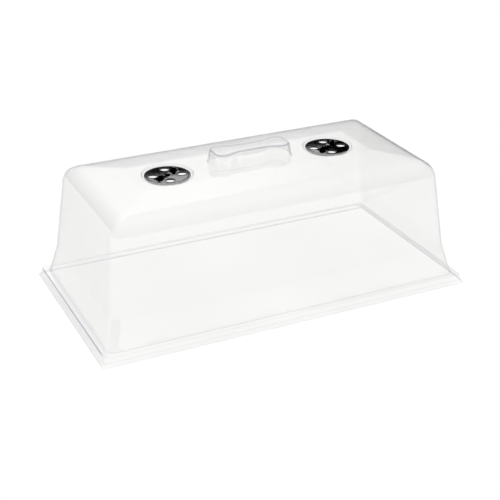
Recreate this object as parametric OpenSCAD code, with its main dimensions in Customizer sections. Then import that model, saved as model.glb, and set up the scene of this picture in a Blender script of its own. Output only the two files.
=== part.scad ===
/* [Rim] */
// Outside length of the rim, left to right
rim_length = 546; // [530:1:560]
// Outside width of the rim, front to back
rim_width = 291; // [280:1:300]
// Height of the flat ledge that runs round the foot of the walls
ledge_z = 12.5; // [11:0.5:15]
// Width of the rim from its trimmed edge to the foot of the walls
rim_reach = 11.2; // [10:0.1:13]
// Radius of the rim's corners in plan
rim_corner = 5; // [4:0.5:6]
// Thickness of the formed sheet
sheet = 1; // [0.8:0.1:1.2]

/* [Walls and roof] */
// Height of the kink between the sloping skirt and the steeper wall
kink_z = 53.5; // [45:1:60]
// Lean of the skirt below the kink, in degrees from upright
skirt_lean = 14.6; // [12:0.1:17]
// Lean of the wall above the kink, in degrees from upright
wall_lean = 6.7; // [5:0.1:8]
// Height where the wall would meet the roof slope in a sharp edge
eaves_z = 178; // [172:0.5:180]
// Radius of the rounded edge between wall and roof
eaves_round = 28; // [20:1:30]
// Height of the flat top of the roof
roof_z = 186; // [184:0.5:188]
// Distance in plan from the rim's edge to the flat top of the roof
roof_inset = 105; // [103:1:106]
// Radius of the wall corners in plan
wall_corner = 14.5; // [12:0.5:16]
// Radius of the corners in plan, half way round the eaves
eaves_corner = 7.5; // [6:0.5:10]

/* [Lifting handle] */
// Length of the handle block along its top
handle_length = 112; // [100:1:116]
// Width across each end lobe, along the top
lobe_width = 38; // [34:1:40]
// Width of the waist that the fingers close on
waist_width = 25; // [22:1:28]
// Length of the straight part of the waist
waist_length = 36; // [30:1:40]
// Height of the top of the handle
handle_z = 205; // [200:1:206]
// Radius of the lobes' corners in plan
lobe_corner = 12; // [10:1:13]
// Lean of the handle's walls, in degrees from upright
handle_lean = 10; // [6:1:12]
// Radius of the handle's top edge
handle_round = 3; // [2:0.5:4]

/* [Vents] */
// Distance of each vent's centre from the middle of the dome
vent_x = 122; // [118:1:124]
// Radius of the round recess that a vent lies in
seat_r = 34.5; // [33.5:0.5:35]
// Depth of the recess below the flat top of the roof
seat_depth = 3.7; // [3.5:0.1:4]
// Radius of the opening cut through the sheet
opening_r = 30.2; // [30.1:0.1:30.4]
// Outside radius of the vent base
base_r = 31.5; // [31.5:0.1:32]
// How far the base's pan drops below the floor of the recess
pan_drop = 1.8; // [1.6:0.1:2]
// Thickness of the pan's floor
base_plate = 1.2; // [1:0.1:1.4]
// Outside radius of the turning dial
dial_r = 28.6; // [28.4:0.1:28.7]
// Thickness of the dial
dial_plate = 1.2; // [1:0.1:1.4]
// Radius of each air hole in the dial
hole_r = 6.3; // [5.5:0.1:6.4]
// Radius of each air hole in the base
base_hole_r = 7; // [6.5:0.1:7.2]
// Distance of the air holes from the vent's centre
hole_circle = 20; // [19:0.1:20]
// Angle of the first air hole, in degrees
hole_angle = -10.5; // [-15:0.5:0]
// Turn of the dial from open to shut, in degrees
dial_turn = 45; // [44:1:46]

/* [Pivot] */
// Radius of the rivet that the dial turns on
pivot_r = 2; // [1.8:0.1:2.2]
// Running clearance between the rivet and the dial, on the radius
pivot_play = 0.05; // [0.03:0.01:0.08]
// Radius of the rivet's domed head
head_r = 3.4; // [3.2:0.1:3.6]

/* [Hidden] */

AIR_HOLES = 4;
CORNER_STEPS = 7;      // facets round each corner of the dome in plan
HULL_FN = 32;
BORE_FN = 96;
THROUGH = 1;           // how far a cut runs past the face it opens

lip_top_in = 3.9;      // the lip leans in by this much at its top
flare_in = 3.5;        // the trimmed edge flares out by this much at its foot
flare_z = 4.6;         // height of the top of the flare
lip_round = 1.5;       // rounding of the lip's top edge and of the foot of the walls
kink_round = 60;
ridge_round = 10;      // rounding of the crease round the roof's flat top
ridge_corner = 3;      // plan radius of the flat top's corners, where the hips end

skirt_in = rim_reach + (kink_z - ledge_z) * tan(skirt_lean);
eaves_in = skirt_in + (eaves_z - kink_z) * tan(wall_lean);

seat_z = roof_z - seat_depth;
pan_z = seat_z - pan_drop;
plate_top = pan_z + base_plate;
collar_out = opening_r - 0.3;
collar_in = collar_out - 1.5;
collar_depth = 0.8;    // how far the base's snap tabs hang below its pan
tab_gap = 8.6;         // half width of the gap between two tabs, over each air hole
bead_out = opening_r + 0.3;
bead_top = 1.2;        // the snap bead starts this far below the recess floor
base_rim_in = dial_r + 0.4;
flange_h = 0.8;        // thickness of the base's flange, which lies on the recess floor
rim_chamfer = 0.3;
rim_shoulder = 0.5;    // chamfer on the outside of the flange

dial_gap = 0.15;       // clearance between the pan's floor and the dial
dial_z = plate_top + dial_gap;
dial_top = dial_z + dial_plate;
hub_r = 4.4;
hub_top = dial_top + 0.8;
hole_lip_r = hole_r + 1.1;
hole_lip_h = 0.4;
grip_angle = hole_angle + dial_turn;
grip_in = 8.6;         // where a finger grip starts and ends, from the vent's centre
grip_out = 22.6;
grip_h = 5.2;          // height of a grip above the dial, at its middle

lug_r = 1.5;           // the stop lug under the dial
lug_circle = 9.5;
lug_play = 0.15;
lug_depth = 1;         // how far the lug reaches down into the base's slot

head_gap = 0.2;        // clearance between the hub and the rivet's head
head_z = hub_top + head_gap;
head_h = 1;
foot_r = pivot_r + 0.7;
foot_h = 1.1;

// ---- Paths and outlines ----

function unit(v) = v / norm(v);
function turned(v, angle) = [v.x * cos(angle) - v.y * sin(angle),
                             v.x * sin(angle) + v.y * cos(angle)];
function right_of(v) = [v.y, -v.x];
function blend(a, b, t) = a + (b - a) * t;

// The path moved sideways to its right by gap, with mitred corners
function shifted(path, gap) = [
    for (i = [0:len(path) - 1])
        let (last = len(path) - 1,
             before = right_of(unit(path[max(i, 1)] - path[max(i, 1) - 1])),
             after = right_of(unit(path[min(i + 1, last)] - path[min(i + 1, last) - 1])),
             middle = unit(before + after))
        path[i] + middle * gap / (middle * before)];

// Points of an arc of radius r in the corner p between a and b
function corner_arc(a, p, b, r, steps) =
    let (to_a = unit(a - p),
         to_b = unit(b - p),
         half = acos(to_a * to_b) / 2,
         centre = p + unit(to_a + to_b) * r / sin(half),
         start = p + to_a * r / tan(half) - centre,
         side = sign(cross(-to_a, to_b)),
         sweep = side * (180 - 2 * half))
    [for (i = [0:steps]) centre + turned(start, sweep * i / steps)];

// The path moved by gap, then rounded. corners[i] holds the radius and the number of
// steps at point i. A corner that turns right loses the gap from its radius.
function formed(path, corners, gap) =
    let (sharp = shifted(path, gap))
    [for (i = [0:len(sharp) - 1])
        let (bend = corners[i],
             inner = i > 0 && i < len(sharp) - 1 && bend[1] > 0,
             side = inner ? sign(cross(sharp[i] - sharp[i - 1], sharp[i + 1] - sharp[i])) : 0)
        each (inner
              ? corner_arc(sharp[i - 1], sharp[i], sharp[i + 1],
                           max(bend[0] + side * gap, 0.3), bend[1])
              : [sharp[i]])];

// A closed skin over a stack of outlines with equal numbers of points, lowest first
module loft(levels) {
    n = len(levels[0]);
    top = len(levels) - 1;
    polyhedron(
        points = [for (level = levels) each level],
        faces = concat(
            [[for (i = [0:n - 1]) i]],
            [[for (i = [n - 1:-1:0]) top * n + i]],
            [for (j = [0:top - 1]) for (i = [0:n - 1])
                let (a = j * n + i, b = j * n + (i + 1) % n)
                each [[a, a + n, b + n], [a, b + n, b]]]));
}

// ---- Dome ----

// Section of the sheet's outer face, as [distance in from the rim's edge, height]
DOME_PATH = [[0, 0], [flare_in, flare_z], [lip_top_in, ledge_z], [rim_reach, ledge_z],
             [skirt_in, kink_z], [eaves_in, eaves_z], [roof_inset, roof_z],
             [roof_inset + 12, roof_z]];
DOME_BENDS = [[0, 0], [3, 1], [lip_round, 2], [lip_round, 2],
              [kink_round, 2], [eaves_round, 6], [ridge_round, 2], [0, 0]];

function plan_corner(inset) =
    lookup(inset, [[0, rim_corner], [lip_top_in, rim_corner + 1], [rim_reach, wall_corner],
                   [eaves_in - 3, wall_corner], [eaves_in + 5, eaves_corner],
                   [roof_inset, ridge_corner]]);

// A rectangle with round corners, inset from the rim's edge
function dome_level(inset, z, gap) =
    let (r = max(plan_corner(inset - gap) - gap, 1),
         x = rim_length / 2 - inset - r,
         y = rim_width / 2 - inset - r)
    [for (corner = [[1, 1], [-1, 1], [-1, -1], [1, -1]]) for (i = [0:CORNER_STEPS])
        let (start = atan2(corner.y, corner.x) - 45, a = start + 90 * i / CORNER_STEPS)
        [corner.x * x + r * cos(a), corner.y * y + r * sin(a), z]];

function dome_levels(gap) =
    [for (p = formed(DOME_PATH, DOME_BENDS, gap)) dome_level(p[0], p[1], gap)];

// ---- Handle block, hollow from below ----

HANDLE_DROP = 6;       // the block's walls run this far down through the roof
HANDLE_PATH = [[-(handle_z - roof_z + HANDLE_DROP) * tan(handle_lean), roof_z - HANDLE_DROP],
               [0, handle_z], [7, handle_z]];
HANDLE_BENDS = [[0, 0], [handle_round, 3], [0, 0]];
FLANK_STEPS = 6;

// One quarter of the dog-bone outline, grown outwards by grow
function handle_quarter(grow) =
    let (x = handle_length / 2 - lobe_corner, y = lobe_width / 2 - lobe_corner)
    concat(
        [for (a = [0:18:90]) [x + (lobe_corner + grow) * cos(a), y + (lobe_corner + grow) * sin(a)]],
        [for (i = [1:FLANK_STEPS]) let (t = i / FLANK_STEPS)
            [blend(x, waist_length / 2, t),
             grow + blend(lobe_width, waist_width, (1 - cos(180 * t)) / 2) / 2]]);

function backwards(list) = [for (i = [len(list) - 1:-1:0]) list[i]];
function flipped(list, sx, sy) = [for (p = list) [p.x * sx, p.y * sy]];

function handle_level(grow, z) =
    let (q = handle_quarter(grow))
    [for (p = concat(q, backwards(flipped(q, -1, 1)), flipped(q, -1, -1), backwards(flipped(q, 1, -1))))
        [p.x, p.y, z]];

function handle_levels(gap) =
    [for (p = formed(HANDLE_PATH, HANDLE_BENDS, gap)) handle_level(-p[0], p[1])];

module sheet_face(gap) {
    loft(dome_levels(gap));
    loft(handle_levels(gap));
}

module at_vents() {
    for (side = [-1, 1]) translate([side * vent_x, 0, seat_z]) children();
}

module dome_shell() {
    color("aliceblue", 0.35)
    difference() {
        sheet_face(0);
        difference() {
            sheet_face(sheet);
            at_vents() translate([0, 0, -sheet])
                cylinder(r = seat_r + sheet, h = seat_depth + 2 * sheet, $fn = BORE_FN);
        }
        at_vents() cylinder(r = seat_r, h = seat_depth + THROUGH, $fn = BORE_FN);
        at_vents() translate([0, 0, -sheet - THROUGH])
            cylinder(r = opening_r, h = sheet + 2 * THROUGH, $fn = BORE_FN);
    }
}

// ---- Vents, each drawn about its own centre at its true height ----

module air_holes(r, z, h) {
    for (i = [0:AIR_HOLES - 1])
        rotate(hole_angle + i * 360 / AIR_HOLES)
            translate([hole_circle, 0, z]) cylinder(r = r, h = h, $fn = BORE_FN);
}

// The curved slot that the dial's lug runs in, square at its ends
module stop_slot(z, h) {
    r = lug_r + lug_play;
    spare = asin(r / lug_circle);
    translate([0, 0, z]) rotate(grip_angle - spare)
        rotate_extrude(angle = dial_turn + 2 * spare, $fn = BORE_FN)
            translate([lug_circle - r, 0]) square([2 * r, h]);
}

module vent_base() {
    tab_z = pan_z - collar_depth;
    flange_top = seat_z + flange_h;
    difference() {
        rotate_extrude($fn = BORE_FN)
            polygon([[0, pan_z], [collar_in, pan_z], [collar_in, tab_z],
                     [collar_out - rim_chamfer, tab_z],
                     [bead_out, seat_z - bead_top - 0.8], [collar_out, seat_z - bead_top],
                     [collar_out, seat_z], [base_r, seat_z], [base_r, flange_top - rim_shoulder],
                     [base_r - rim_shoulder, flange_top], [base_rim_in + rim_chamfer, flange_top],
                     [base_rim_in, flange_top - rim_chamfer], [base_rim_in, plate_top],
                     [0, plate_top]]);
        air_holes(base_hole_r, pan_z - THROUGH, base_plate + 2 * THROUGH);
        for (i = [0:AIR_HOLES - 1])
            rotate(hole_angle + i * 360 / AIR_HOLES)
                translate([hole_circle, -tab_gap, tab_z - THROUGH])
                    cube([bead_out, 2 * tab_gap, collar_depth + THROUGH]);
        stop_slot(pan_z - THROUGH, base_plate + 2 * THROUGH);
        translate([0, 0, pan_z - THROUGH])
            cylinder(r = pivot_r, h = base_plate + 2 * THROUGH, $fn = BORE_FN);
    }
}

// A leaf-shaped finger grip, widest and highest at its middle
module grip() {
    foot = dial_top - 0.3;
    middle = blend(grip_in, grip_out, 0.5);
    rotate(grip_angle) hull() {
        for (end = [grip_in, grip_out])
            translate([end, 0, foot]) cylinder(r = 0.8, h = grip_h * 0.6, $fn = HULL_FN);
        translate([middle, 0, foot]) cylinder(r = 4.2, h = 1.2, $fn = HULL_FN);
        translate([middle, 0, dial_top]) cylinder(r = 2, h = grip_h, $fn = HULL_FN);
    }
}

module vent_dial() {
    edge = 0.3;
    difference() {
        union() {
            rotate_extrude($fn = BORE_FN)
                polygon([[0, dial_z], [dial_r - edge, dial_z], [dial_r, dial_z + edge],
                         [dial_r, dial_top - edge], [dial_r - edge, dial_top],
                         [hub_r + edge, dial_top], [hub_r, dial_top + edge],
                         [hub_r, hub_top], [0, hub_top]]);
            air_holes(hole_lip_r, dial_top - edge, hole_lip_h + edge);
            for (a = [0, 180]) rotate(a) grip();
            rotate(grip_angle) translate([lug_circle, 0, dial_z - lug_depth])
                cylinder(r = lug_r, h = lug_depth + edge, $fn = BORE_FN);
        }
        air_holes(hole_r, dial_z - THROUGH, dial_plate + hole_lip_h + 2 * THROUGH);
        translate([0, 0, dial_z - THROUGH])
            cylinder(r = pivot_r + pivot_play, h = dial_plate + 4 * THROUGH, $fn = BORE_FN);
    }
}

module vent_pivot() {
    rotate_extrude($fn = BORE_FN)
        polygon([[0, pan_z - foot_h], [pivot_r, pan_z - foot_h], [foot_r, pan_z - foot_h / 2],
                 [foot_r, pan_z], [pivot_r, pan_z], [pivot_r, head_z], [head_r, head_z],
                 [head_r, head_z + head_h * 0.4], [head_r * 0.7, head_z + head_h * 0.85],
                 [0, head_z + head_h]]);
}

module left() { translate([-vent_x, 0, 0]) children(); }
module right() { translate([vent_x, 0, 0]) children(); }

module left_vent_base() { color("#1b1b17") left() vent_base(); }
module left_vent_dial() { color("#24241f") left() vent_dial(); }
module left_vent_pivot() { color("#34342d") left() vent_pivot(); }
module right_vent_base() { color("#1b1b17") right() vent_base(); }
module right_vent_dial() { color("#24241f") right() vent_dial(); }
module right_vent_pivot() { color("#34342d") right() vent_pivot(); }

dome_shell();
left_vent_base();
left_vent_dial();
left_vent_pivot();
right_vent_base();
right_vent_dial();
right_vent_pivot();
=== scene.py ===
# A clear formed humidity dome with two turning air vents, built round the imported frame.

from math import asin, atan2, ceil, cos, pi, radians, sin, tan

import bmesh
import bpy
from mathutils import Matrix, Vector, noise
from mathutils.geometry import delaunay_2d_cdt

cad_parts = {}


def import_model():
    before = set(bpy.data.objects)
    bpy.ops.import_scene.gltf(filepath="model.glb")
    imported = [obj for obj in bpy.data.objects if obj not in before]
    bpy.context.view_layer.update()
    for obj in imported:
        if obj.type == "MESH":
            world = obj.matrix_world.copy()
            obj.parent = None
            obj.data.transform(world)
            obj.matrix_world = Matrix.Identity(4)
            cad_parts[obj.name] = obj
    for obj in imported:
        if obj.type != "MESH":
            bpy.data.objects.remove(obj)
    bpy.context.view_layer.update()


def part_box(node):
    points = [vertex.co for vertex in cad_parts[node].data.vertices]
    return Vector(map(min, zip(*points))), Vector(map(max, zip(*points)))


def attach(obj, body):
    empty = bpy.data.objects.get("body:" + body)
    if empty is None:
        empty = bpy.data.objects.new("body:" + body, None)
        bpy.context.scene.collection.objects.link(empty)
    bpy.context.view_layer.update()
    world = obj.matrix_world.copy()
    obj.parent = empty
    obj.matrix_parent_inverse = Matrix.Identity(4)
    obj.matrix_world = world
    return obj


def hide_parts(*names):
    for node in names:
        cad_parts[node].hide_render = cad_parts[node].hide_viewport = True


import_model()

# ---- Sizes, in metres and radians. The outside sizes come from the frame ----

SHEET = 0.001                      # thickness of the formed sheet
FLARE = (0.0035, 0.0046)           # how far the trimmed edge flares out, and how high
LIP_TOP_IN = 0.0039                # how far the lip's top lies in from the trimmed edge
LEDGE_Z = 0.0125                   # top of the ledge between the lip and the walls
RIM_REACH = 0.0112                 # from the trimmed edge to the foot of the walls
KINK_Z = 0.0535                    # where the sloping skirt meets the steeper walls
SKIRT_LEAN = radians(14.6)
WALL_LEAN = radians(6.7)
EAVES_Z = 0.178
ROOF_Z = 0.186
ROOF_INSET = 0.105                 # from the trimmed edge to the flat top of the roof

HANDLE_HALF = 0.056                # the dog-bone handle's half length, then its lobes' half width
LOBE_HALF = 0.019
LOBE_CORNER = 0.012
WAIST_HALF = 0.0125
WAIST_END = 0.018                  # the waist keeps its width as far as this from the middle
HANDLE_LEAN = radians(10)

SEAT_R = 0.0345                    # the round recess that a vent sits in
SEAT_DEPTH = 0.0037
OPENING_R = 0.0302                 # the opening in the recess
PAN_DROP = 0.0018                  # the vent base's pan drops through the opening by this much

BEND_STEP = radians(7)             # one facet of a rounded bend
SPAN = 0.012                       # longest facet along a straight stretch
CORNER_STEPS = 12                  # facets in plan: of a corner, a long side and a short side
LONG_STEPS = 44
SHORT_STEPS = 22
ROUND = 96                         # facets round a vent, then round the smaller round parts
RIVET_ROUND = 64
HOLE_ROUND = 48
SMALL_ROUND = 32

dome_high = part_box("dome_shell")[1]
half_length = dome_high.x
half_width = dome_high.y
handle_z = dome_high.z
vent_xs = {side: (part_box(side + "_vent_base")[0].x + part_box(side + "_vent_base")[1].x) / 2
           for side in ("left", "right")}
seat_z = ROOF_Z - SEAT_DEPTH


# ---- Paths: lists of (point, tightness) in the plane of a section ----

TIGHT_BEND = 0.003                 # a bend of this radius or less gets the most painted shade, a dark line that stands in for refraction in the bend


def corner_arc(before, corner, after, radius, most):
    """Points of an arc in a corner, each with how much painted shade the bend there gets, up to most."""
    to_before = (before - corner).normalized()
    to_after = (after - corner).normalized()
    half = to_before.angle(to_after) / 2
    centre = corner + (to_before + to_after).normalized() * radius / sin(half)
    start = corner + to_before * radius / tan(half) - centre
    end = corner + to_after * radius / tan(half) - centre
    first = atan2(start.y, start.x)
    sweep = (atan2(end.y, end.x) - first + pi) % (2 * pi) - pi
    steps = max(2, ceil(abs(sweep) / BEND_STEP))
    bend_shade = most * min(1.0, TIGHT_BEND / radius)
    arc = []
    for i in range(steps + 1):
        angle = first + sweep * i / steps
        fade = max(0.0, sin(pi * i / steps)) ** 0.5
        arc.append((centre + radius * Vector((cos(angle), sin(angle))), bend_shade * fade))
    return arc


def rounded(path, radii, bend_shades=None):
    """The path with a round bend of its radius and painted bend shade at each inner point, and no long
    facets.
    """
    corners = [Vector(p) for p in path]
    points = [(corners[0], 0.0)]
    for i in range(1, len(corners) - 1):
        most = bend_shades[i - 1] if bend_shades else 1.0
        points += corner_arc(corners[i - 1], corners[i], corners[i + 1], radii[i - 1], most)
    points.append((corners[-1], 0.0))
    filled = [points[0]]
    for point, bend_shade in points[1:]:
        last, _ = filled[-1]
        steps = ceil((point - last).length / SPAN)
        filled += [(last.lerp(point, k / steps), 0.0) for k in range(1, steps)]
        filled.append((point, bend_shade))
    return filled


def between(value, table):
    """Straight-line look-up in a table of (key, value)."""
    for (a, u), (b, v) in zip(table, table[1:]):
        if value <= b:
            return u + (v - u) * max(0.0, (value - a) / (b - a))
    return table[-1][1]


def circle(centre_x, centre_y, radius, z, steps):
    """Points round a level circle."""
    return [(centre_x + radius * cos(2 * pi * i / steps), centre_y + radius * sin(2 * pi * i / steps), z)
            for i in range(steps)]


# ---- Meshes ----

INSIDE_ONLY = 1                    # the triangulation keeps only faces inside the outer outline
MERGE_WITHIN = 1e-9                # and joins points this close


class Skin:
    """Points and faces of one mesh while it is put together from closed loops."""

    def __init__(self):
        self.points = []
        self.bend_shade = []
        self.faces = []

    def loop(self, points, bend_shade=0.0):
        first = len(self.points)
        self.points += [Vector(p) for p in points]
        self.bend_shade += [bend_shade] * len(points)
        return list(range(first, len(self.points)))

    def stack(self, loops):
        """Four-sided faces between each loop and the next."""
        for a, b in zip(loops, loops[1:]):
            n = len(a)
            self.faces += [(a[i], a[(i + 1) % n], b[(i + 1) % n], b[i]) for i in range(n)]

    def fill(self, outer, holes=()):
        """Triangles across the region inside outer and outside the holes."""
        ids = list(outer)
        edges = [(i, (i + 1) % len(outer)) for i in range(len(outer))]
        for hole in holes:
            start = len(ids)
            edges += [(start + i, start + (i + 1) % len(hole)) for i in range(len(hole))]
            ids += hole
        flat = [self.points[i].xy for i in ids]
        outlines = [[self.points[i].xy for i in hole] for hole in holes]
        _, _, faces, sources, _, _ = delaunay_2d_cdt(flat, edges, [], INSIDE_ONLY, MERGE_WITHIN)
        for face in faces:
            corners = [ids[sources[v][0]] for v in face]
            middle = sum((self.points[c].xy for c in corners), Vector((0, 0))) / len(corners)
            if not any(inside(middle, outline) for outline in outlines):
                self.faces.append(tuple(corners))


def inside(point, outline):
    """Whether a point in plan is inside a closed outline."""
    hit = False
    for a, b in zip(outline, outline[1:] + outline[:1]):
        if (a.y > point.y) != (b.y > point.y):
            hit ^= point.x < a.x + (b.x - a.x) * (point.y - a.y) / (b.y - a.y)
    return hit


def finished(name, bm, materials, sharp):
    """An object from a bmesh, smooth but for edges sharper than that many degrees."""
    mesh = bpy.data.meshes.new(name)
    bm.to_mesh(mesh)
    bm.free()
    for polygon in mesh.polygons:
        polygon.use_smooth = True
    mesh.set_sharp_from_angle(angle=radians(sharp))
    for material in materials:
        mesh.materials.append(material)
    piece = bpy.data.objects.new(name, mesh)
    bpy.context.scene.collection.objects.link(piece)
    return piece


def as_bmesh(skin):
    """The skin as a bmesh, with its vertices in the same order and its faces all turned one way."""
    bm = bmesh.new()
    verts = [bm.verts.new(p) for p in skin.points]
    for face in skin.faces:
        bm.faces.new([verts[i] for i in face])
    bmesh.ops.recalc_face_normals(bm, faces=bm.faces)
    return bm


# ---- The formed sheet ----

skirt_in = RIM_REACH + (KINK_Z - LEDGE_Z) * tan(SKIRT_LEAN)
eaves_in = skirt_in + (EAVES_Z - KINK_Z) * tan(WALL_LEAN)
FLAT_RUN = 0.002                   # a path ends with a short run on the flat face that it meets
HANDLE_FOOT_RUN = 0.003
HANDLE_TOP_RUN = 0.005

# The dome's outer face in section, from the rim to the roof: (inset from the trimmed edge, z)
DOME_PATH = [(0, 0), FLARE, (LIP_TOP_IN, LEDGE_Z), (RIM_REACH, LEDGE_Z), (skirt_in, KINK_Z),
             (eaves_in, EAVES_Z), (ROOF_INSET, ROOF_Z), (ROOF_INSET + FLAT_RUN, ROOF_Z)]

# For each path, the radius of each bend in turn and how much painted shade it gets, dark lines that stand
# in for refraction in the bends
DOME_RADII = [0.003, 0.0015, 0.0015, 0.060, 0.028, 0.010]
DOME_BEND_SHADE = [0.05, 0.08, 0.15, 0.3, 0.3, 0.3]
HANDLE_RADII = [0.002, 0.003]
HANDLE_BEND_SHADE = [0.06, 0.5]
SEAT_RADII = [0.0012, 0.0008]
SEAT_BEND_SHADE = [0.12, 0.12]
LEFT_LIP_SHADE = 1.0               # the lip's top bend along the left end gets more painted shade, a darker painted line
LIP_BEND = 0.0012                  # how far that bend reaches from the corner of the section
LIP_SHADE_END = 0.012               # that painted shade stops this far from the ends of the lip

# Radius in plan of the rim's, walls' and roof's corners, by inset
PLAN_CORNERS = [(0, 0.005), (LIP_TOP_IN, 0.006), (RIM_REACH, 0.0145), (eaves_in - 0.003, 0.0145),
                (eaves_in + 0.005, 0.0075), (ROOF_INSET, 0.003)]

LOBE_STEPS = 10                    # facets of a quarter of the handle's outline: lobe, neck, waist
NECK_STEPS = 12
WAIST_STEPS = 3

WAVE = 0.00035                     # the sheet's waviness, its scale, and where it fades out
WAVE_SCALE = 22.0
WAVE_FOOT = 0.02
WAVE_GROWS = 0.05
WAVE_TOP = ROOF_Z - 0.002
WAVE_FADES = 0.02
SHEET_SHARP = 50                   # edges sharper than this many degrees stay hard
THICKEST = 1.6                     # in a sharp corner the skin is at most this many times as thick


def dome_ring(inset, z):
    """A rectangle with round corners in plan, inset from the rim's edge."""
    corner = between(inset, PLAN_CORNERS)
    x = half_length - inset - corner
    y = half_width - inset - corner
    sides = [(1, 1, LONG_STEPS), (-1, 1, SHORT_STEPS), (-1, -1, LONG_STEPS), (1, -1, SHORT_STEPS)]
    points = []
    for k, (sx, sy, steps) in enumerate(sides):
        arc = [(sx * x + corner * cos(a), sy * y + corner * sin(a))
               for a in [(k + i / CORNER_STEPS) * pi / 2 for i in range(CORNER_STEPS + 1)]]
        tx, ty, _ = sides[(k + 1) % 4]
        turn = (k + 1) * pi / 2
        target = (tx * x + corner * cos(turn), ty * y + corner * sin(turn))
        last = arc[-1]
        points += arc
        step_x = target[0] - last[0]
        step_y = target[1] - last[1]
        points += [(last[0] + step_x * i / steps, last[1] + step_y * i / steps) for i in range(1, steps)]
    return [(px, py, z) for px, py in points]


def handle_outline(grow, z):
    """The dog-bone outline of the lifting handle, grown outwards."""
    x = HANDLE_HALF - LOBE_CORNER
    y = LOBE_HALF - LOBE_CORNER
    radius = LOBE_CORNER + grow
    turns = [i * pi / 2 / LOBE_STEPS for i in range(LOBE_STEPS + 1)]
    lobe = [(x + radius * cos(turn), y + radius * sin(turn)) for turn in turns]
    neck = []
    for i in range(1, NECK_STEPS + 1):
        t = i / NECK_STEPS
        width = LOBE_HALF + (WAIST_HALF - LOBE_HALF) * (1 - cos(pi * t)) / 2
        neck.append((x + (WAIST_END - x) * t, width + grow))
    waist = [(WAIST_END * (1 - i / WAIST_STEPS), WAIST_HALF + grow) for i in range(1, WAIST_STEPS)]
    quarter = lobe + neck + waist
    half = quarter + [(0.0, WAIST_HALF + grow)] + [(-a, b) for a, b in reversed(quarter)]
    return [(a, b, z) for a, b in half] + [(-a, -b, z) for a, b in half]


def sheet_skin():
    """The sheet's outer face, from the rim to the roof, the handle and the recesses."""
    skin = Skin()
    rings = [skin.loop(dome_ring(inset, z), bend_shade)
             for (inset, z), bend_shade in rounded(DOME_PATH, DOME_RADII, DOME_BEND_SHADE)]
    skin.stack(rings)

    base_grow = (handle_z - ROOF_Z) * tan(HANDLE_LEAN)
    path = rounded([(-base_grow - HANDLE_FOOT_RUN, ROOF_Z), (-base_grow, ROOF_Z), (0, handle_z),
                    (HANDLE_TOP_RUN, handle_z)], HANDLE_RADII, HANDLE_BEND_SHADE)
    handle = [skin.loop(handle_outline(-grow, z), bend_shade) for (grow, z), bend_shade in path]
    skin.stack(handle)
    skin.fill(handle[-1])

    seats = []
    for x in vent_xs.values():
        path = rounded([(SEAT_R + FLAT_RUN, ROOF_Z), (SEAT_R, ROOF_Z), (SEAT_R, seat_z),
                        (OPENING_R, seat_z)], SEAT_RADII, SEAT_BEND_SHADE)
        seat = [skin.loop(circle(x, 0, radius, z, ROUND), bend_shade) for (radius, z), bend_shade in path]
        skin.stack(seat)
        seats.append(seat[0])
    skin.fill(rings[-1], [handle[0]] + seats)
    return skin


def ripple(point):
    """The sheet isn't quite flat: a slow wave, fading out at the rim and on the roof's top."""
    low = min(1.0, max(0.0, (point.z - WAVE_FOOT) / WAVE_GROWS))
    high = min(1.0, max(0.0, (WAVE_TOP - point.z) / WAVE_FADES))
    return WAVE * low * high * noise.noise(point * WAVE_SCALE)


def dome_shell(materials):
    """The sheet as a closed skin: its outer face, its inner face and the cut edge between them."""
    skin = sheet_skin()
    bm = as_bmesh(skin)
    top = max(bm.faces, key=lambda f: f.calc_center_median().z)
    if top.normal.z < 0:
        bmesh.ops.reverse_faces(bm, faces=bm.faces)
    bm.normal_update()
    for vert in bm.verts:
        vert.co = vert.co + vert.normal * ripple(vert.co)
    bm.normal_update()
    # Each point's share of painted bend shade, which the sheet's material reads as the attribute "bend"
    bend_shade_layer = bm.verts.layers.float.new("bend")
    outer = list(bm.verts)
    for vert, bend_shade in zip(outer, skin.bend_shade):
        # The lip's top bend along the left end gets a darker painted line
        at_top = abs(vert.co.z - LEDGE_Z) < LIP_BEND
        at_left = vert.co.x < LIP_TOP_IN + LIP_BEND - half_length
        off_corner = abs(vert.co.y) < half_width - LIP_SHADE_END
        vert[bend_shade_layer] = LEFT_LIP_SHADE if at_top and at_left and off_corner else bend_shade
    inner = {}
    for vert in outer:
        depth = SHEET * min(vert.calc_shell_factor(), THICKEST)
        point = vert.co - vert.normal * depth
        point.z = max(point.z, 0.0)
        inner[vert] = bm.verts.new(point)
        inner[vert][bend_shade_layer] = vert[bend_shade_layer]
    edges = [edge for edge in bm.edges if len(edge.link_faces) == 1]
    for face in list(bm.faces):
        bm.faces.new([inner[vert] for vert in reversed(face.verts)])
    for edge in edges:
        loop = edge.link_loops[0]
        a = loop.vert
        b = loop.link_loop_next.vert
        cut = bm.faces.new([b, a, inner[a], inner[b]])
        cut.material_index = 1
    return finished("formed_dome", bm, materials, SHEET_SHARP)


# ---- Vents ----

# Roundings, chamfers and steps of the moulded edges, from the finest to the softest
FINE = 0.0001
CRISP = 0.0002
EDGE = 0.0003
BLUNT = 0.0004
SOFT = 0.0005

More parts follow.
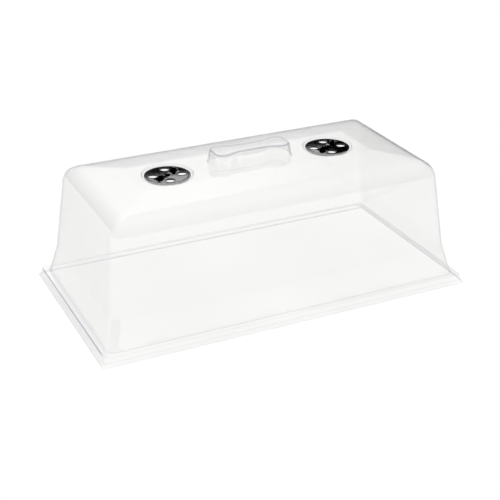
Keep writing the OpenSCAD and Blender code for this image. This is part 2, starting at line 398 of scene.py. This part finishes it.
AIR_HOLES = 4
HOLE_CIRCLE = 0.020                # radius of the circle that the air holes stand on
HOLE_ANGLE = radians(-10.5)
HOLE_R = 0.0063                    # the holes in the dial, then those in the base
BASE_HOLE_R = 0.0070
HOLE_LIP = 0.0011                  # width and height of the lip round each hole in the dial
HOLE_LIP_H = 0.0004
DIAL_TURN = radians(45)
GRIP_ANGLE = HOLE_ANGLE + DIAL_TURN
BASE_PLATE = 0.0012                # thickness of the base's floor and of the dial, and the gap between
DIAL_GAP = 0.00015
DIAL_PLATE = 0.0012
DIAL_PLAY = 0.0004                 # between the dial and the base's flange
PAN_PLAY = 0.0003                  # between the base's pan and the opening in the sheet
BEAD = 0.0003                      # the snap bead is wider than the opening by this much
BEAD_TOP = 0.0012                  # and ends this far below the sheet's upper face
TAB_WALL = 0.0015
TAB_GAP = 0.0086                   # half width of the gap between two snap tabs, over each air hole
TAB_STEPS = 6
HUB_R = 0.0044
HUB_H = 0.0008
PIVOT_R = 0.002
PIVOT_PLAY = 0.00005
FOOT_SPREAD = 0.0007               # the rivet's snap foot is wider than its stem by this much
HEAD_DIMPLE = 0.00015
HEAD_CREST = 0.0008                # radius of the ring that is the highest part of the head
HEAD_SHOULDER = 0.7                # where the head starts to fall away, as a share of its radius
TIP_R = 0.0003                     # the small flat in the middle of the rivet's two ends
LUG_R = 0.0015
LUG_CIRCLE = 0.0095
LUG_PLAY = 0.00015

GRIP_IN = 0.0080                   # a finger grip's inner and outer end, from the dial's axis
GRIP_OUT = 0.0232
GRIP_HALF = 0.0043                 # half its width at its widest
GRIP_SKEW = 0.85                   # below 1, it is widest nearer to its inner end
GRIP_FULLNESS = 0.72               # below 1, its outline is fuller than a half wave
GRIP_END_H = 0.55                  # height of its ends, as a share of its middle's
CREST_FULLNESS = 0.7
GRIP_IN_LEAN = 0.0027              # how far its two ends lean in, from foot to crest
GRIP_OUT_LEAN = 0.0009
GRIP_FOOT = 1.18                   # its foot spreads onto the disc: its width there and just above it,
GRIP_WALL = 0.98                   # as shares of the full width
GRIP_LEVELS = [(GRIP_FOOT, 0.0), (1.04, 0.05), (GRIP_WALL, 0.16), (0.84, 0.45), (0.60, 0.78),
               (0.42, 0.93), (0.24, 1.0)]
GRIP_STATIONS = 20
VENT_SHARP = 38                    # edges sharper than this many degrees stay hard

base_low, base_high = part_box("left_vent_base")
base_r = (base_high.x - base_low.x) / 2
base_rim_z = base_high.z
collar_z = base_low.z
dial_low, dial_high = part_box("left_vent_dial")
dial_r = (dial_high.x - dial_low.x) / 2
grip_z = dial_high.z
lug_z = dial_low.z
pivot_low, pivot_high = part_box("left_vent_pivot")
head_r = (pivot_high.x - pivot_low.x) / 2
pan_z = seat_z - PAN_DROP
plate_z = pan_z + BASE_PLATE
dial_z = plate_z + DIAL_GAP
dial_top = dial_z + DIAL_PLATE
hub_z = dial_top + HUB_H


def lathe(skin, path, radii, steps=ROUND, x=0.0, y=0.0):
    """Loops round a vertical axis through a rounded path of (radius, z).

    A path that meets a flat face starts or ends with a short run on it, up to where it is filled."""
    loops = [skin.loop(circle(x, y, point.x, point.y, steps)) for point, _ in rounded(path, radii)]
    skin.stack(loops)
    return loops


def hole_places():
    """The middles of the air holes, from the vent's axis."""
    angles = [HOLE_ANGLE + i * 2 * pi / AIR_HOLES for i in range(AIR_HOLES)]
    return [(HOLE_CIRCLE * cos(a), HOLE_CIRCLE * sin(a)) for a in angles]


def slot_outline(z, grow):
    """The curved slot that the dial's lug runs in, grown outwards."""
    half = LUG_R + LUG_PLAY + grow
    first = GRIP_ANGLE
    arc_steps = 16
    end_steps = 8
    points = []
    for i in range(arc_steps + 1):
        a = first + DIAL_TURN * i / arc_steps
        points.append(((LUG_CIRCLE + half) * cos(a), (LUG_CIRCLE + half) * sin(a)))
    last = first + DIAL_TURN
    for i in range(1, end_steps):
        b = last + pi * i / end_steps
        points.append((LUG_CIRCLE * cos(last) + half * cos(b), LUG_CIRCLE * sin(last) + half * sin(b)))
    for i in range(arc_steps + 1):
        a = last - DIAL_TURN * i / arc_steps
        points.append(((LUG_CIRCLE - half) * cos(a), (LUG_CIRCLE - half) * sin(a)))
    for i in range(1, end_steps):
        b = first + pi + pi * i / end_steps
        points.append((LUG_CIRCLE * cos(first) + half * cos(b), LUG_CIRCLE * sin(first) + half * sin(b)))
    return [(px, py, z) for px, py in points]


def tab_outline(middle, inner, outer, half, z):
    """One snap tab in plan: a piece of a ring, from half an angle before its middle to half after."""
    angles = [middle + half * (i / TAB_STEPS - 1) for i in range(2 * TAB_STEPS + 1)]
    return ([(outer * cos(a), outer * sin(a), z) for a in angles]
            + [(inner * cos(a), inner * sin(a), z) for a in reversed(angles)])


def vent_base(name, x, material):
    """The base: a flange on the recess, a pan through the opening, a snap bead and four tabs."""
    skin = Skin()
    rim_in = dial_r + DIAL_PLAY
    rim_run = 0.001
    wall_r = OPENING_R - PAN_PLAY
    bead_r = OPENING_R + BEAD
    tab_in = wall_r - TAB_WALL
    outer = lathe(skin, [(wall_r - EDGE, pan_z), (bead_r - CRISP, pan_z), (wall_r, seat_z - BEAD_TOP),
                         (wall_r, seat_z), (base_r, seat_z), (base_r, base_rim_z), (rim_in, base_rim_z),
                         (rim_in, plate_z), (rim_in - rim_run, plate_z)],
                  [FINE, CRISP, EDGE, EDGE, SOFT, EDGE, BLUNT])
    tops = []
    bottoms = []
    for hx, hy in hole_places():
        hole = lathe(skin, [(BASE_HOLE_R + SOFT, plate_z), (BASE_HOLE_R, plate_z), (BASE_HOLE_R, pan_z),
                            (BASE_HOLE_R + SOFT, pan_z)], [EDGE, EDGE], HOLE_ROUND, hx, hy)
        tops.append(hole[0])
        bottoms.append(hole[-1])
    bore = lathe(skin, [(PIVOT_R + BLUNT, plate_z), (PIVOT_R, plate_z), (PIVOT_R, pan_z),
                        (PIVOT_R + BLUNT, pan_z)], [CRISP, CRISP], SMALL_ROUND)
    slot = [skin.loop(slot_outline(z, grow)) for grow, z in
            ((EDGE, plate_z), (0.0, plate_z - EDGE), (0.0, pan_z + CRISP), (CRISP, pan_z))]
    skin.stack(slot)
    spread = pi / AIR_HOLES - asin(TAB_GAP / wall_r)
    tabs = []
    for i in range(AIR_HOLES):
        middle = HOLE_ANGLE + (i + 0.5) * 2 * pi / AIR_HOLES
        tab = [skin.loop(tab_outline(middle, inner, out, spread, z)) for inner, out, z in
               ((tab_in, wall_r - BLUNT, pan_z), (tab_in, bead_r - FINE, pan_z - FINE),
                (tab_in, bead_r, pan_z - EDGE), (tab_in, wall_r - CRISP, collar_z + EDGE),
                (tab_in + CRISP, wall_r - SOFT, collar_z))]
        skin.stack(tab)
        skin.fill(tab[-1])
        tabs.append(tab[0])
    skin.fill(outer[-1], tops + [bore[0], slot[0]])
    skin.fill(outer[0], bottoms + tabs + [bore[-1], slot[-1]])
    return placed(skin, name, x, material)


def grip_station(along):
    """Half width and height of a finger grip at a share of its length."""
    s = min(max(along, 0.0), 1.0)
    half = GRIP_HALF * sin(pi * s ** GRIP_SKEW) ** GRIP_FULLNESS
    height = (grip_z - dial_top) * (GRIP_END_H + (1 - GRIP_END_H) * sin(pi * s) ** CREST_FULLNESS)
    return half, height


def grip_loops(skin, turn):
    """A leaf-shaped finger grip, widest and highest at its middle. Gives its lowest loop."""
    loops = []
    for width, lift in GRIP_LEVELS:
        spare = SOFT * max(0.0, width - GRIP_WALL) / (GRIP_FOOT - GRIP_WALL)
        first = GRIP_IN - spare + GRIP_IN_LEAN * lift
        last = GRIP_OUT + spare - GRIP_OUT_LEAN * lift
        side = []
        for i in range(GRIP_STATIONS + 1):
            along = (1 - cos(pi * i / GRIP_STATIONS)) / 2
            half, height = grip_station(along)
            side.append((first + (last - first) * along, half * width, dial_top + height * lift))
        ring = side + [(r, -w, z) for r, w, z in reversed(side[1:-1])]
        loops.append(skin.loop([(r * cos(turn) - w * sin(turn), r * sin(turn) + w * cos(turn), z)
                                for r, w, z in ring]))
    skin.stack(loops)
    top = loops[-1]
    n = len(top)
    for i in range(1, GRIP_STATIONS - 1):
        skin.faces.append((top[i], top[i + 1], top[n - i - 1], top[n - i]))
    skin.faces.append((top[0], top[1], top[n - 1]))
    skin.faces.append((top[GRIP_STATIONS - 1], top[GRIP_STATIONS], top[GRIP_STATIONS + 1]))
    return loops[0]


def vent_dial(name, x, material):
    """The dial: a disc with four lipped holes, a hub, two finger grips, and a stop lug underneath."""
    skin = Skin()
    rim_run = 0.0008
    hub_run = 0.0008
    bore_run = 0.0006
    rim = lathe(skin, [(dial_r - rim_run, dial_z), (dial_r, dial_z), (dial_r, dial_top),
                       (dial_r - rim_run, dial_top)], [EDGE, SOFT])
    lip_r = HOLE_R + HOLE_LIP
    lip_z = dial_top + HOLE_LIP_H
    tops = []
    bottoms = []
    for hx, hy in hole_places():
        hole = lathe(skin, [(lip_r + EDGE, dial_top), (lip_r, dial_top), (lip_r - FINE, lip_z),
                            (HOLE_R, lip_z), (HOLE_R, dial_z), (HOLE_R + bore_run, dial_z)],
                     [CRISP, CRISP, EDGE, EDGE], HOLE_ROUND, hx, hy)
        tops.append(hole[0])
        bottoms.append(hole[-1])
    bore_r = PIVOT_R + PIVOT_PLAY
    bore = lathe(skin, [(HUB_R + hub_run, dial_top), (HUB_R, dial_top), (HUB_R - CRISP, hub_z),
                        (bore_r, hub_z), (bore_r, dial_z), (PIVOT_R + bore_run, dial_z)],
                 [BLUNT, EDGE, CRISP, CRISP], HOLE_ROUND)
    lug_x = LUG_CIRCLE * cos(GRIP_ANGLE)
    lug_y = LUG_CIRCLE * sin(GRIP_ANGLE)
    lug = [skin.loop(circle(lug_x, lug_y, r, z, SMALL_ROUND))
           for r, z in ((LUG_R, dial_z), (LUG_R, lug_z + EDGE), (LUG_R - EDGE, lug_z))]
    skin.stack(lug)
    skin.fill(lug[-1])
    grips = [grip_loops(skin, GRIP_ANGLE + turn) for turn in (0, pi)]
    skin.fill(rim[-1], tops + [bore[0]] + grips)
    skin.fill(rim[0], bottoms + [bore[-1], lug[0]])
    return placed(skin, name, x, material)


def vent_pivot(name, x, material):
    """The push rivet: a domed head with a dimple, a stem, and a snap foot below the pan."""
    skin = Skin()
    foot_z = pivot_low.z
    foot_r = PIVOT_R + FOOT_SPREAD
    head_z = hub_z + CRISP
    tip_z = pivot_high.z
    loops = lathe(skin, [(TIP_R, tip_z - HEAD_DIMPLE), (HEAD_CREST, tip_z),
                         (head_r * HEAD_SHOULDER, tip_z - HEAD_DIMPLE), (head_r, head_z + EDGE),
                         (head_r, head_z), (PIVOT_R, head_z), (PIVOT_R, pan_z), (foot_r, pan_z),
                         (foot_r, (pan_z + foot_z) / 2), (PIVOT_R, foot_z), (TIP_R, foot_z)],
                  [0.001, 0.003, CRISP, FINE, CRISP, FINE, FINE, CRISP, EDGE], RIVET_ROUND)
    skin.fill(loops[0])
    skin.fill(loops[-1])
    return placed(skin, name, x, material)


def placed(skin, name, x, material):
    """A vent's piece, moved from the vent's own axis to its place in the frame."""
    bm = as_bmesh(skin)
    bmesh.ops.translate(bm, verts=bm.verts, vec=(x, 0, 0))
    return finished(name, bm, [material], VENT_SHARP)


# ---- Materials ----

CLEAR = (0.977, 0.977, 0.976)       # what one face of the sheet lets through
SLANT_TINT = (0.910, 0.910, 0.909)  # the same at a slant, where the light's way through is longer
BEND_PAINTED_SHADE = (0.57, 0.57, 0.63)      # painted shade in a tight bend, which stands in for the dark line that refraction draws there
GRAZING_PAINTED_SHADE = (0.20, 0.20, 0.25)   # painted shade at a grazing view, which stands in for the dark edge that refraction draws there; the mirror is darkened by it too
SLANT_POWER = 2.0                   # the higher the power, the later the effect sets in at a slant
GRAZING_POWER = 10.0
MIRROR_POWER = 5.0
HEAD_ON_MIRROR = 0.04               # share of light that a face mirrors, seen head on
GRAIN_SHARE = 0.03                  # the sheet's fine grain, next to its slow waves
CUT_DARK = (0.42, 0.43, 0.44)       # the frosted cut edge, from its darkest to its palest
CUT_PALE = (0.62, 0.63, 0.64)
CUT_CLEAR = (0.93, 0.93, 0.94)      # and what its clear share lets through
CUT_FROST = 0.35                    # share of the cut edge that is frosted
CROWN = 0.0003                      # how much the middle of a vent's disc rises, too slight for the mesh
FLOW_DARK = 0.75                    # flow marks in the black plastic, as shares of its colour
FLOW_PALE = 1.3
GLOSSIER = 0.03                     # how far flow marks change its roughness, down and up
DULLER = 0.04


def new_material(name):
    """An empty node material and its tree."""
    material = bpy.data.materials.new(name)
    material.use_nodes = True
    tree = material.node_tree
    tree.nodes.clear()
    return material, tree


def node(tree, kind, **values):
    """A new node with its properties and sockets set. A socket may be given by its name."""
    made = tree.nodes.new(kind)
    for key, value in values.items():
        if hasattr(made, key):
            setattr(made, key, value)
        else:
            made.inputs[key.replace("_", " ")].default_value = value
    return made


def powered(tree, value, exponent):
    """value, a socket, to the power of a number."""
    power = node(tree, "ShaderNodeMath", operation="POWER")
    power.inputs[1].default_value = exponent
    tree.links.new(value, power.inputs[0])
    return power.outputs[0]


def mixed_colour(tree, share, first, second):
    """first where share is 0 and second where it is 1. Each is a colour or a socket."""
    mix = node(tree, "ShaderNodeMix", data_type="RGBA")
    tree.links.new(share, mix.inputs[0])
    for socket, value in ((mix.inputs[6], first), (mix.inputs[7], second)):
        if isinstance(value, tuple):
            socket.default_value = (*value, 1)
        else:
            tree.links.new(value, socket)
    return mix.outputs[2]


def bump_of(tree, height, strength, distance, onto=None):
    """A normal bumped by a height socket, on top of the normal onto if one is given."""
    bump = node(tree, "ShaderNodeBump", Strength=strength, Distance=distance)
    tree.links.new(height, bump.inputs["Height"])
    if onto:
        tree.links.new(onto, bump.inputs["Normal"])
    return bump.outputs["Normal"]


def clear_sheet():
    """Thin clear sheet that mirrors more at a slant and is darker at a slant, with painted shade in tight
    bends and at grazing views.
    """
    material, tree = new_material("clear_sheet")
    place = node(tree, "ShaderNodeNewGeometry").outputs["Position"]
    waves = node(tree, "ShaderNodeTexNoise", Scale=26.0, Detail=2.0)
    grain = node(tree, "ShaderNodeTexNoise", Scale=420.0, Detail=2.0)
    for texture in (waves, grain):
        tree.links.new(place, texture.inputs["Vector"])
    height = node(tree, "ShaderNodeMath", operation="MULTIPLY_ADD")
    height.inputs[1].default_value = GRAIN_SHARE
    tree.links.new(grain.outputs["Fac"], height.inputs[0])
    tree.links.new(waves.outputs["Fac"], height.inputs[2])
    normal = bump_of(tree, height.outputs[0], strength=0.25, distance=0.002)
    slant = node(tree, "ShaderNodeLayerWeight", Blend=0.5)
    tree.links.new(normal, slant.inputs["Normal"])
    facing = slant.outputs["Facing"]

    # Painted shade: darker in tight bends, by the mesh's "bend" attribute, and darker at grazing views
    bend = node(tree, "ShaderNodeAttribute", attribute_name="bend")
    slanted = mixed_colour(tree, powered(tree, facing, SLANT_POWER), CLEAR, SLANT_TINT)
    in_bends = mixed_colour(tree, bend.outputs["Fac"], slanted, BEND_PAINTED_SHADE)
    grazing = powered(tree, facing, GRAZING_POWER)
    tint_and_painted_shade = mixed_colour(tree, grazing, in_bends, GRAZING_PAINTED_SHADE)
    through = node(tree, "ShaderNodeBsdfTransparent")
    tree.links.new(tint_and_painted_shade, through.inputs["Color"])

    mirror = node(tree, "ShaderNodeBsdfGlossy", Roughness=0.04)
    # The mirror is darkened at grazing views as well: painted shade
    tree.links.new(mixed_colour(tree, grazing, (1.0, 1.0, 1.0), GRAZING_PAINTED_SHADE), mirror.inputs["Color"])
    tree.links.new(normal, mirror.inputs["Normal"])
    share = node(tree, "ShaderNodeMath", operation="MULTIPLY_ADD")
    share.inputs[1].default_value = 1 - HEAD_ON_MIRROR
    share.inputs[2].default_value = HEAD_ON_MIRROR
    tree.links.new(powered(tree, facing, MIRROR_POWER), share.inputs[0])
    mix = node(tree, "ShaderNodeMixShader")
    tree.links.new(share.outputs[0], mix.inputs[0])
    tree.links.new(through.outputs[0], mix.inputs[1])
    tree.links.new(mirror.outputs[0], mix.inputs[2])
    out = node(tree, "ShaderNodeOutputMaterial")
    tree.links.new(mix.outputs[0], out.inputs["Surface"])
    return material


def sheet_edge():
    """The cut edge of the sheet, faintly frosted by the trimming blade."""
    material, tree = new_material("sheet_edge")
    place = node(tree, "ShaderNodeNewGeometry").outputs["Position"]
    saw = node(tree, "ShaderNodeTexNoise", Scale=900.0, Detail=3.0)
    tree.links.new(place, saw.inputs["Vector"])
    shade = mixed_colour(tree, saw.outputs["Fac"], CUT_DARK, CUT_PALE)
    normal = bump_of(tree, saw.outputs["Fac"], strength=0.4, distance=0.0003)
    frost = node(tree, "ShaderNodeBsdfPrincipled", Roughness=0.35)
    tree.links.new(shade, frost.inputs["Base Color"])
    tree.links.new(normal, frost.inputs["Normal"])
    through = node(tree, "ShaderNodeBsdfTransparent", Color=(*CUT_CLEAR, 1))
    mix = node(tree, "ShaderNodeMixShader")
    mix.inputs[0].default_value = CUT_FROST
    tree.links.new(through.outputs[0], mix.inputs[1])
    tree.links.new(frost.outputs[0], mix.inputs[2])
    out = node(tree, "ShaderNodeOutputMaterial")
    tree.links.new(mix.outputs[0], out.inputs["Surface"])
    return material


def crowned(tree, rise):
    """A normal for a disc that is flat in the mesh but rises by that much at its middle.

    Generated coordinates run from 0 to 1 across the piece, so the offset is from its middle."""
    place = node(tree, "ShaderNodeTexCoord").outputs["Generated"]
    offset = node(tree, "ShaderNodeVectorMath", operation="SUBTRACT")
    offset.inputs[1].default_value = (0.5, 0.5, 0.5)
    tree.links.new(place, offset.inputs[0])
    flat = node(tree, "ShaderNodeVectorMath", operation="MULTIPLY")
    flat.inputs[1].default_value = (2, 2, 0)
    tree.links.new(offset.outputs[0], flat.inputs[0])
    square = node(tree, "ShaderNodeVectorMath", operation="DOT_PRODUCT")
    tree.links.new(flat.outputs[0], square.inputs[0])
    tree.links.new(flat.outputs[0], square.inputs[1])
    bump = node(tree, "ShaderNodeBump", Strength=1.0, Distance=rise, invert=True)
    tree.links.new(square.outputs["Value"], bump.inputs["Height"])
    return bump.outputs["Normal"]


def black_plastic(name, colour, roughness, skin_scale):
    """Moulded black plastic: slight flow marks in its colour, and a fine skin that breaks up its gloss."""
    material, tree = new_material(name)
    place = node(tree, "ShaderNodeNewGeometry").outputs["Position"]
    flow = node(tree, "ShaderNodeTexNoise", Scale=90.0, Detail=3.0)
    skin = node(tree, "ShaderNodeTexNoise", Scale=skin_scale, Detail=3.0)
    for texture in (flow, skin):
        tree.links.new(place, texture.inputs["Vector"])
    dark = tuple(c * FLOW_DARK for c in colour)
    pale = tuple(c * FLOW_PALE for c in colour)
    shade = mixed_colour(tree, flow.outputs["Fac"], dark, pale)
    gloss = node(tree, "ShaderNodeMapRange")
    gloss.inputs["To Min"].default_value = roughness - GLOSSIER
    gloss.inputs["To Max"].default_value = roughness + DULLER
    tree.links.new(flow.outputs["Fac"], gloss.inputs["Value"])
    crown = crowned(tree, CROWN)
    normal = bump_of(tree, skin.outputs["Fac"], strength=0.05, distance=0.0001, onto=crown)
    body = node(tree, "ShaderNodeBsdfPrincipled", IOR=1.5)
    tree.links.new(shade, body.inputs["Base Color"])
    tree.links.new(gloss.outputs[0], body.inputs["Roughness"])
    tree.links.new(normal, body.inputs["Normal"])
    out = node(tree, "ShaderNodeOutputMaterial")
    tree.links.new(body.outputs[0], out.inputs["Surface"])
    return material


# ---- Pieces ----

sheet_materials = [clear_sheet(), sheet_edge()]
base_black = black_plastic("vent_black", (0.011, 0.011, 0.010), roughness=0.08, skin_scale=1500.0)
dial_black = black_plastic("dial_black", (0.012, 0.012, 0.011), roughness=0.07, skin_scale=1700.0)
rivet_black = black_plastic("rivet_black", (0.016, 0.016, 0.015), roughness=0.10, skin_scale=2000.0)

dome = dome_shell(sheet_materials)
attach(dome, "dome")
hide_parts("dome_shell")

vent_pieces = []
for side, x in vent_xs.items():
    base = vent_base(side + "_base", x, base_black)
    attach(base, "dome")
    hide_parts(side + "_vent_base")
    dial = vent_dial(side + "_dial_disc", x, dial_black)
    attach(dial, side + "_dial")
    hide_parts(side + "_vent_dial")
    pivot = vent_pivot(side + "_rivet", x, rivet_black)
    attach(pivot, "dome")
    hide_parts(side + "_vent_pivot")
    vent_pieces += [base, dial, pivot]


# ---- Floor, light and camera ----

FLOOR_WHITE = (0.80, 0.798, 0.793)
FLOOR_HALF = 40.0                   # half the floor's side
FLOOR_Z = -0.0002                   # just below the rim, so that the two faces don't fight
OVERHEAD = 4.05                     # strength of the light from above, which makes the floor white
OVERHEAD_ANGLE = radians(75)        # how wide its source is, seen from the floor
FILL_SHARE = 0.6                    # the share of it that the clear dome doesn't shade
KEY_SHARE = 0.4                     # and the share that it does
AROUND = 0.10                       # brightness of the dark studio round the lamps

TENT_R = 5.0                        # radius of the light tent, and how low it reaches
TENT_FOOT = -0.1
TENT_GLOW = 0.56                    # brightness at floor level, then how much it rises up to the top
TENT_RISE = 1.60
# Two bearings from straight behind, clockwise seen from above, and the share of the glow at each
TENT_RIGHT = (radians(25), radians(40), 1.0, 0.60)
TENT_LEFT = (radians(-60), radians(14), 0.5, 1.0)

# Two corners of the lamp that the vents mirror, and its brightness
SOFTBOX_LOW = Vector((0.30, 2.35, 1.235))
SOFTBOX_HIGH = Vector((1.45, 2.35, 2.05))
SOFTBOX_GLOW = 2.8

# The camera's place and direction, then its lens and sensor in millimetres
CAMERA_PLACE = (-0.62806, -1.32290, 0.76913)
CAMERA_FORWARD = Vector((0.38469, 0.80963, -0.44332))
LENS_MM = 82.04
SENSOR_MM = 36


def falls_on(source, pieces, shaded_by=None):
    """The lamp lights these pieces and no others, as a flagged studio lamp does.

    Only the pieces in shaded_by cast shadows from it, if they are given."""
    lit = bpy.data.collections.new(source.name + "_lights")
    for piece in pieces:
        lit.objects.link(piece)
    source.light_linking.receiver_collection = lit
    if shaded_by:
        shades = bpy.data.collections.new(source.name + "_shades")
        for piece in shaded_by:
            shades.objects.link(piece)
        source.light_linking.blocker_collection = shades


def floor():
    """A plain white floor, a good deal bigger than the view."""
    side = FLOOR_HALF
    corners = [(-side, -side, 0), (side, -side, 0), (side, side, 0), (-side, side, 0)]
    mesh = bpy.data.meshes.new("floor")
    mesh.from_pydata(corners, [], [(0, 1, 2, 3)])
    plane = bpy.data.objects.new("floor", mesh)
    plane.location.z = FLOOR_Z
    bpy.context.scene.collection.objects.link(plane)
    material, tree = new_material("floor")
    matt = node(tree, "ShaderNodeBsdfDiffuse", Color=(*FLOOR_WHITE, 1))
    out = node(tree, "ShaderNodeOutputMaterial")
    tree.links.new(matt.outputs[0], out.inputs["Surface"])
    mesh.materials.append(material)
    return plane


def overhead(name, share, lit, shaded_by):
    """A share of the wide light from straight above, which falls on the floor alone.

    Multiple importance sampling is off, since two such lamps lose light with it."""
    lamp = bpy.data.lights.new(name, "SUN")
    lamp.energy = OVERHEAD * share
    lamp.angle = OVERHEAD_ANGLE
    lamp.cycles.use_multiple_importance_sampling = False
    source = bpy.data.objects.new(name, lamp)
    bpy.context.scene.collection.objects.link(source)
    falls_on(source, lit, shaded_by)


def world():
    """Plain white behind everything for the camera, and a dark studio for all other rays."""
    made = bpy.data.worlds.new("studio")
    made.use_nodes = True
    tree = made.node_tree
    tree.nodes.clear()
    rays = node(tree, "ShaderNodeLightPath")
    seen = node(tree, "ShaderNodeBackground", Color=(1, 1, 1, 1), Strength=1.0)
    around = node(tree, "ShaderNodeBackground", Color=(1, 1, 1, 1), Strength=AROUND)
    mix = node(tree, "ShaderNodeMixShader")
    tree.links.new(rays.outputs["Is Camera Ray"], mix.inputs[0])
    tree.links.new(around.outputs[0], mix.inputs[1])
    tree.links.new(seen.outputs[0], mix.inputs[2])
    out = node(tree, "ShaderNodeOutputWorld")
    tree.links.new(mix.outputs[0], out.inputs["Surface"])
    bpy.context.scene.world = made


def ranged(tree, value, low, high, at_low, at_high):
    """value, mapped smoothly from low..high to at_low..at_high."""
    span = node(tree, "ShaderNodeMapRange", interpolation_type="SMOOTHSTEP")
    for name, number in (("From Min", low), ("From Max", high), ("To Min", at_low), ("To Max", at_high)):
        span.inputs[name].default_value = number
    tree.links.new(value, span.inputs["Value"])
    return span.outputs[0]


def product(tree, first, second):
    """Two sockets multiplied."""
    times = node(tree, "ShaderNodeMath", operation="MULTIPLY")
    tree.links.new(first, times.inputs[0])
    tree.links.new(second, times.inputs[1])
    return times.outputs[0]


def light_tent(pieces):
    """A big shell of paper round the set that the clear sheet mirrors.

    It is brighter higher up, and dims to both sides of a place behind the dome."""
    bm = bmesh.new()
    bmesh.ops.create_uvsphere(bm, u_segments=48, v_segments=24, radius=TENT_R)
    below = [vert for vert in bm.verts if vert.co.z < TENT_FOOT]
    bmesh.ops.delete(bm, geom=below, context="VERTS")
    bmesh.ops.reverse_faces(bm, faces=bm.faces)
    mesh = bpy.data.meshes.new("light_tent")
    bm.to_mesh(mesh)
    bm.free()
    tent = bpy.data.objects.new("light_tent", mesh)
    bpy.context.scene.collection.objects.link(tent)
    material, tree = new_material("light_tent")
    place = node(tree, "ShaderNodeNewGeometry").outputs["Position"]
    parts = node(tree, "ShaderNodeSeparateXYZ")
    tree.links.new(place, parts.inputs[0])
    bearing = node(tree, "ShaderNodeMath", operation="ARCTAN2")
    tree.links.new(parts.outputs["X"], bearing.inputs[0])
    tree.links.new(parts.outputs["Y"], bearing.inputs[1])
    up = node(tree, "ShaderNodeMath", operation="MULTIPLY_ADD")
    up.inputs[1].default_value = TENT_RISE / TENT_R
    up.inputs[2].default_value = TENT_GLOW
    tree.links.new(parts.outputs["Z"], up.inputs[0])
    right = ranged(tree, bearing.outputs[0], *TENT_RIGHT)
    left = ranged(tree, bearing.outputs[0], *TENT_LEFT)
    strength = product(tree, product(tree, up.outputs[0], right), left)
    glow = node(tree, "ShaderNodeEmission", Color=(1, 1, 1, 1))
    tree.links.new(strength, glow.inputs["Strength"])
    out = node(tree, "ShaderNodeOutputMaterial")
    tree.links.new(glow.outputs[0], out.inputs["Surface"])
    mesh.materials.append(material)
    tent.visible_camera = False
    tent.visible_shadow = False
    falls_on(tent, pieces)


def softbox(name, low, high, radiance, pieces):
    """An upright rectangular lamp behind the object, between two corners, that faces it."""
    light = bpy.data.lights.new(name, "AREA")
    light.shape = "RECTANGLE"
    light.size = high.x - low.x
    light.size_y = high.z - low.z
    light.energy = radiance * pi * light.size * light.size_y
    lamp = bpy.data.objects.new(name, light)
    lamp.location = (low + high) / 2
    lamp.rotation_euler = (radians(90), 0, pi)
    lamp.visible_camera = False
    bpy.context.scene.collection.objects.link(lamp)
    falls_on(lamp, pieces)


def camera():
    """A long lens, in front and to the left, looking down at the dome."""
    lens = bpy.data.cameras.new("camera")
    lens.lens = LENS_MM
    lens.sensor_width = SENSOR_MM
    made = bpy.data.objects.new("camera", lens)
    made.location = CAMERA_PLACE
    made.rotation_euler = CAMERA_FORWARD.to_track_quat("-Z", "Y").to_euler()
    bpy.context.scene.collection.objects.link(made)
    bpy.context.scene.camera = made


ground = floor()
overhead("overhead_fill", FILL_SHARE, [ground], vent_pieces)
overhead("overhead_key", KEY_SHARE, [ground], vent_pieces + [dome])
world()
light_tent([dome])
softbox("back_softbox", SOFTBOX_LOW, SOFTBOX_HIGH, SOFTBOX_GLOW, vent_pieces)
camera()
scene = bpy.context.scene
scene.view_settings.view_transform = "Standard"
scene.cycles.transparent_max_bounces = 48
scene.cycles.max_bounces = 24
